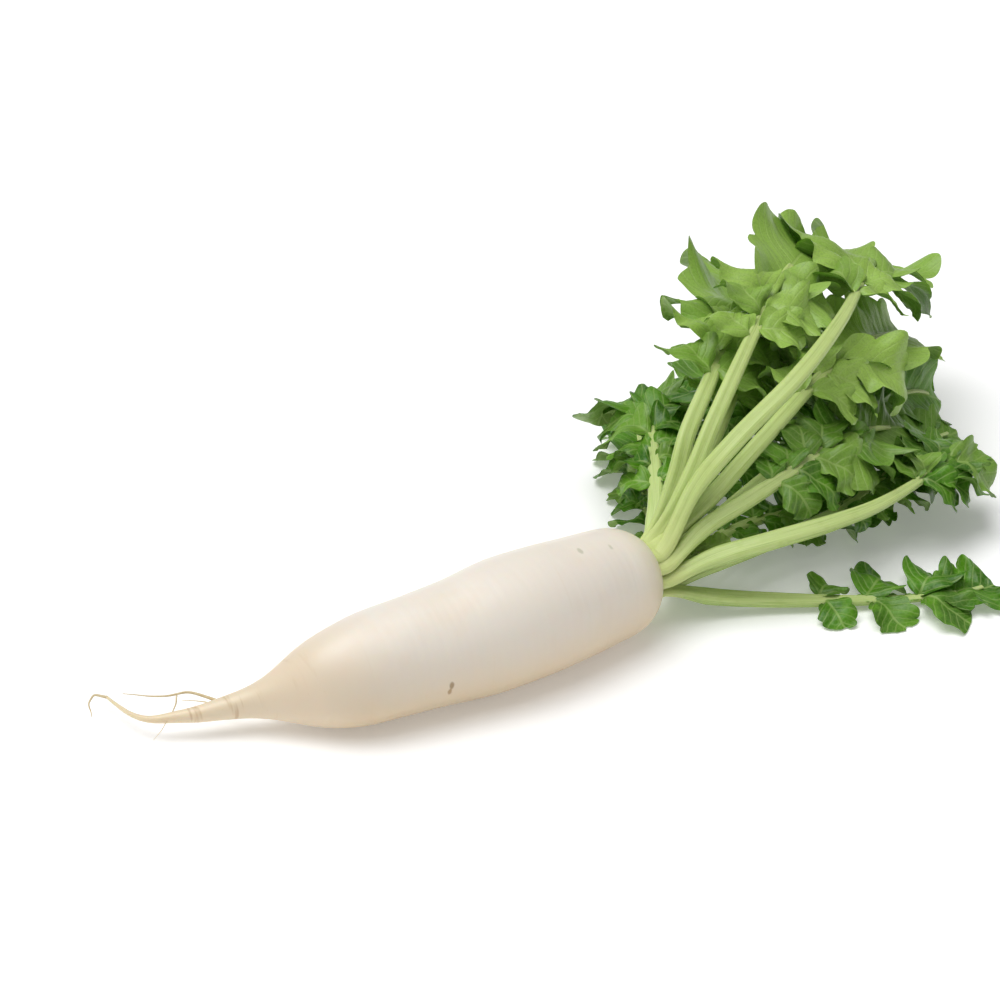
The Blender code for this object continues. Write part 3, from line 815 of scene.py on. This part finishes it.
def take_side_lobe(skin, rows, here, sign, grow, leaf, look, draw):
    """Add the side lobe at a share of the leaf's length.

    rows holds the midrib and its three directions, sign picks the side, and grow runs up to 1 at the last
    pair before the tip.
    """
    _, wide, _, thick, _ = leaf[3:]
    spot, along, side, up = (at_share(column, np.array([here]))[0] for column in rows)
    radius = stalk_radius(here, thick)
    start = spot + sign * side * radius * 0.6 + up * radius * 0.35
    long = MM * wide * look["lobe"] * (0.62 + 0.66 * grow) * (0.88 + 0.24 * draw.random())
    half = long * (0.50 + 0.12 * draw.random())
    angle = math.radians(70 - 20 * grow + 14 * (draw.random() - 0.5))
    droop = look["droop"] * (0.6 + 0.8 * draw.random())
    rise = 0.35 + 0.5 * draw.random()
    vein = side_vein(start, along, sign * side, up, long, angle, droop, rise)
    face = up + 0.25 * sign * side * (draw.random() - 0.2)
    shape = {**SIDE_LOBE, "twist": sign * look["twist"] * (draw.random() - 0.35),
             "teeth": 2 + int(2 * draw.random()), "waves": 1.0 + 0.8 * draw.random(),
             "ripple": look["ripple"], "cup": look["cup"] * (draw.random() - 0.3)}
    add_lobe(skin, vein, face, half, shape, look["tint"], draw)


def take_blade(skin, spine, leaf, look, draw):
    """Add every lobe of a leaf: the frill, the side lobes pair by pair, and the tip lobe."""
    bare, wide, lobes, _, facing = leaf[3:]
    length = np.linalg.norm(np.diff(spine, axis=0), axis=1).sum()
    along, side, up = directions(spine, facing)
    tip_from, tint = look["tip_from"], look["tint"]

    places = np.linspace(bare, tip_from + 0.06, FRILL_ROWS)
    frill = at_share(spine, places) + at_share(up, places) * FRILL_RAISED
    shape = {**FRILL, "teeth": 2 * lobes + 3, "waves": 2.4 * lobes}
    add_lobe(skin, frill, facing, FRILL_WIDTH, shape, tint, draw)

    pairs = lobes + look["more"]
    for k in range(pairs):
        place = bare + (k + 0.55) / pairs * (tip_from + 0.03 - bare)
        for sign in (-1, 1):
            here = np.clip(place + 0.012 * (draw.random() - 0.5) + 0.01 * sign, 0, 1)
            take_side_lobe(skin, (spine, along, side, up), here, sign, (k + 1) / pairs, leaf, look, draw)

    places = np.linspace(tip_from, 1.0, TIP_ROWS)
    tip = at_share(spine, places)
    tip[:, 2] -= 0.10 * look["droop"] * length * np.linspace(0.0, 1.0, TIP_ROWS) ** 2 * (1.0 - tip_from)
    shape = {**TIP_LOBE, "twist": look["twist"] * (draw.random() - 0.5), "ripple": look["ripple"],
             "cup": 0.6 * look["cup"]}
    add_lobe(skin, tip + at_share(up, places) * TIP_RAISED, facing, MM * wide * look["tip_wide"], shape,
             tint, draw)


# %% [markdown]
# The blade's green is never even. It is darker between the veins and pale along them, fresher on some leaves
# than on others, and greyer and lighter underneath. Its green is also painted lighter on leaves high in the
# bunch and darker on low ones, as painted light and painted shade. The veins are drawn from the UV map, whose
# units are lengths: the midrib is where the distance across is near nothing, and the side veins are where the
# distance along, less a slant across, comes near a whole number of steps. A translucent shader is mixed in,
# because light passes through a thin leaf and lights it from behind.

# %% The blade's finish
VEIN_STEP = 5.5            # mm between drawn side veins


def blade_finish(name, fresh):
    """Veined leaf green; fresh mixes it towards the yellow green of a young leaf."""
    paint = Finish(name)
    flat = paint.node("ShaderNodeUVMap", {"uv_map": "surface"}, {})
    run, cross, _ = paint.parts(flat)
    run = run * (UV_SPAN / MM)
    cross = abs((cross - 0.5) * (UV_SPAN / MM))
    tint, below = paint.mark("tint"), paint.mark("underside")
    place = paint.place()
    wander = paint.noise(place, 130.0, 2.0)
    broad = paint.noise(place, 45.0, 3.0)
    fine = paint.noise(place, 900.0, 2.0)
    steps = (run - VEIN_SLANT * cross + 2.2 * wander) / VEIN_STEP
    nearest = abs(steps.math("FRACT", steps) - 0.5) * VEIN_STEP
    side_vein_mark = paint.fade(nearest, 0.75, 0.15)
    net = paint.node("ShaderNodeTexVoronoi", {"feature": "DISTANCE_TO_EDGE"},
                     {"Vector": place, "Scale": 330.0})
    net_mark = paint.fade(net, 0.16, 0.02, 0.0, 0.25)
    middle_mark = paint.fade(cross, 1.1, 0.35)
    veins = middle_mark.math("MAXIMUM", middle_mark, side_vein_mark * 0.75)
    veins = veins.math("MAXIMUM", veins, net_mark)
    green = paint.mix(paint.fade(broad, 0.35, 0.65), rgb(46, 102, 4), rgb(92, 154, 14))
    # the tint lightens the green: partly each leaf's freshness, partly painted light on high leaves and
    # painted shade on low ones
    green = paint.mix(paint.fade(tint, 0.0, 1.0), green, rgb(178, 216, 98))
    green = paint.mix(paint.fade(fine, 0.4, 0.75, 0.0, 0.3), green, rgb(70, 116, 34))
    upper = paint.mix(veins * 0.45, green, rgb(192, 218, 130))
    under = paint.mix(veins * 0.7, rgb(150, 184, 98), rgb(204, 224, 152))
    colour = paint.mix(below, upper, under)
    colour = paint.mix(fresh, colour, rgb(178, 206, 92))
    height = 0.5 * fine + 1.0 * paint.fade(veins, 0.0, 1.0, 1.0, 0.0)
    paint.set(Base_Color=colour, Roughness=paint.fade(broad, 0.3, 0.7, 0.30, 0.44),
              Normal=paint.bump(height, 0.00026, 0.7))
    through = paint.node("ShaderNodeBsdfTranslucent", {}, {"Color": rgb(150, 204, 60)})
    surface = Wire(paint, paint.shader.outputs[0])
    mixed = paint.node("ShaderNodeMixShader", {}, {0: 0.24, 1: surface, 2: through})
    paint.plug(paint.tree.nodes["Material Output"].inputs["Surface"], mixed)
    return paint.material


old_blade = blade_finish("blade_green", 0.0)
young_blade = blade_finish("young_blade_green", 0.35)
print("blade finishes:", old_blade.name, young_blade.name)

# %% [markdown]
# ## The rosette
# Every leaf is made by the same two functions from its row in the table. What differs is its look: how
# fresh its green is, with painted light and shade added (tint), how much it droops, twists, ripples and cups,
# where its tip lobe starts and how wide that is, how large its side lobes are, and how many more pairs it has
# than its solid. Leaves low in the bunch are finely cut and given a darker green, which is painted shade, and
# the high ones are broad and given a lighter green, which is painted light. The draws come from a generator
# seeded with the leaf's own number, so the plant is the same each time.

# %% Looks of each leaf
# tint is each leaf's own freshness and also painted light and shade: low leaves get a low tint, a darker
# green, as painted shade, and high leaves a high tint, a lighter green, as painted light
LOW_LOOK = {"tint": 0.15, "droop": 0.40, "twist": 1.0, "ripple": 0.18, "cup": 0.40, "tip_from": 0.72,
            "tip_wide": 1.0, "lobe": 1.0, "more": 2}
HIGH_LOOK = {"tint": 0.65, "droop": 0.30, "twist": 0.8, "ripple": 0.20, "cup": 0.40, "tip_from": 0.58,
             "tip_wide": 1.15, "lobe": 1.1, "more": 0}
LOOKS = {
    "leaf_01": {**LOW_LOOK, "tip_from": 0.80, "tip_wide": 1.2, "lobe": 1.35, "more": -1},
    "leaf_02": {**HIGH_LOOK, "tint": 0.30, "tip_from": 0.84, "tip_wide": 0.9},
    "leaf_03": {**HIGH_LOOK, "tint": 0.40, "tip_from": 0.66, "more": 1},
    "leaf_04": {**HIGH_LOOK, "tint": 0.75, "tip_from": 0.74},
    "leaf_05": HIGH_LOOK,
    "leaf_11": {**HIGH_LOOK, "tint": 0.55},
    "leaf_13": {**HIGH_LOOK, "tint": 0.85},
    "leaf_14": {**HIGH_LOOK, "tint": 0.80},
    "heart_leaf_1": {**HIGH_LOOK, "tint": 0.9, "droop": 0.0, "tip_wide": 1.0},
    "heart_leaf_2": {**HIGH_LOOK, "tint": 0.9, "droop": 0.0, "tip_wide": 1.0},
}

# %% Grow the leaves
for number, (name, leaf) in enumerate(LEAVES.items()):
    draw = np.random.default_rng(100 + number)
    look = LOOKS.get(name, LOW_LOOK)
    spine = midrib(*leaf[:3])
    thick, facing = leaf[6:]
    young = name.startswith("heart")
    stalk_skin, blade_skin = Skin(), Skin()
    take_stalk(stalk_skin, spine, facing, thick, look["tint"])
    take_blade(blade_skin, spine, leaf, look, draw)
    for gathered, kind, finish in ((stalk_skin, "stalk", young_stalk if young else old_stalk),
                                   (blade_skin, "blade", young_blade if young else old_blade)):
        piece = gathered.build(name + "_" + kind + "_grown")
        piece.data.materials.append(finish)
        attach(piece, "root")
        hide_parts(name + "_" + kind)
        ("young_" if young else "leaf_") + kind
    print(name, blade_skin.count, "points in its blade")

# %% [markdown]
# ## The studio
# The plant lies on a plain white surface under a wide patch of bright sky. A narrower, weaker patch to the
# left gives the shapes their modelling. The surface glows a little, as a light table does, so that the
# shadows stay faint. The camera looks down on the plant from about a third of the way up, across the root
# from its tail side, with a long lens so that the root keeps its true proportions.

# %% Floor, light and camera
bpy.ops.mesh.primitive_plane_add(size=60.0, location=(0.0, 0.0, -0.0002))
floor = bpy.context.object
floor.name = "studio_floor"
white = Finish("floor_white")
white.set(Base_Color=(0.96, 0.96, 0.96, 1.0), Roughness=0.8,
          Emission_Color=(1.0, 1.0, 1.0, 1.0), Emission_Strength=0.18)
floor.data.materials.append(white.material)

world = bpy.context.scene.world or bpy.data.worlds.new("studio")
bpy.context.scene.world = world
world.use_nodes = True
world.node_tree.nodes["Background"].inputs["Color"].default_value = (1.0, 1.0, 1.0, 1.0)
world.node_tree.nodes["Background"].inputs["Strength"].default_value = 0.28


def sky_light(name, toward, spread, strength):
    """A sun whose rays come from a wide round patch of sky; spread is the patch's width in degrees."""
    lamp = bpy.data.lights.new(name, "SUN")
    lamp.angle, lamp.energy = math.radians(spread), strength
    made = bpy.data.objects.new(name, lamp)
    east, north, up = toward
    tilt = math.atan2(math.hypot(east, north), up)
    made.rotation_euler = (tilt, 0.0, math.atan2(north, east) + math.pi / 2)
    bpy.context.scene.collection.objects.link(made)


sky_light("overhead", (-0.25, 0.15, 1.0), 60.0, 2.00)
sky_light("window", (-0.35, 0.25, 1.0), 30.0, 0.45)

VIEW_AZIMUTH, VIEW_ELEVATION, VIEW_DISTANCE = math.radians(-30.0), math.radians(30.0), 1.5
AIM = np.array([0.0853, 0.1586, 0.0])
away = np.array([math.cos(VIEW_ELEVATION) * math.sin(VIEW_AZIMUTH),
                 -math.cos(VIEW_ELEVATION) * math.cos(VIEW_AZIMUTH), math.sin(VIEW_ELEVATION)])
camera_data = bpy.data.cameras.new("camera")
camera_data.sensor_width, camera_data.lens = 36.0, 93.6
camera = bpy.data.objects.new("camera", camera_data)
camera.location = AIM + VIEW_DISTANCE * away
camera.rotation_euler = (math.pi / 2 - VIEW_ELEVATION, 0.0, VIEW_AZIMUTH)
bpy.context.scene.collection.objects.link(camera)
bpy.context.scene.camera = camera
bpy.context.scene.view_settings.view_transform = "Standard"
print("camera at", [round(v, 3) for v in camera.location])
